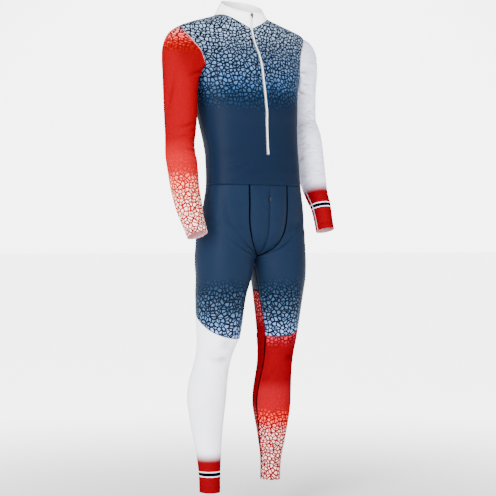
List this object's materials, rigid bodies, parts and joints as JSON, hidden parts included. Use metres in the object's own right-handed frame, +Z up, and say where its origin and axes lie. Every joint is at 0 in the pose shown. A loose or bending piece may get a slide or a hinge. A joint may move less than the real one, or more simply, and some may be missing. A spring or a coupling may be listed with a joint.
{
  "type": "cross-country ski race suit",
  "caption": "Close-fitting one-piece ski race suit, worn form with no wearer, with stand collar, long sleeves, full legs, front zip and front pouch.",
  "frame": {"origin": "middle of the neck opening's base, where the wearer's shoulders carry the suit", "axes": "+Z up towards the collar, +X towards the wearer's left, the front faces -Y"},
  "size_m": [0.5791, 0.2559, 1.4899],
  "materials": {
    "navy_knit": "smooth stretch knit, slight sheen",
    "red_knit": "smooth stretch knit, slight sheen",
    "white_knit": "smooth stretch knit, matt",
    "pale_knit": "smooth stretch knit, matt",
    "zip_tape": "woven tape with a coil",
    "bright_metal": "satin",
    "dark_metal": "satin paint"
  },
  "bodies": {
    "suit": {"front_body": "navy_knit", "back_body": "navy_knit", "collar": "white_knit", "sleeve_right": "red_knit", "sleeve_left": "pale_knit", "pouch_right": "navy_knit", "pouch_left": "navy_knit", "front_thigh_right": "navy_knit", "back_thigh_right": "navy_knit", "front_shank_right": "white_knit", "back_shank_right": "white_knit", "front_thigh_left": "navy_knit", "back_thigh_left": "navy_knit", "front_shank_left": "red_knit", "back_shank_left": "red_knit", "zip_chain": "zip_tape", "zip_slider": "dark_metal", "fly_slider": "bright_metal", "zip_stop": "dark_metal"},
    "zip_pull": {"zip_pull": "dark_metal"},
    "fly_pull": {"fly_pull": "bright_metal"}
  },
  "joints": [
    {"name": "zip_pull_hinge", "type": "hinge", "parent": "suit", "child": "zip_pull", "pos_m": [0, -0.0733, 0.009], "axis": [-1, 0, 0], "range_deg": [0, 110]},
    {"name": "fly_pull_hinge", "type": "hinge", "parent": "suit", "child": "fly_pull", "pos_m": [0, -0.1722, -0.5503], "axis": [-1, 0, 0], "range_deg": [0, 110]}
  ]
}
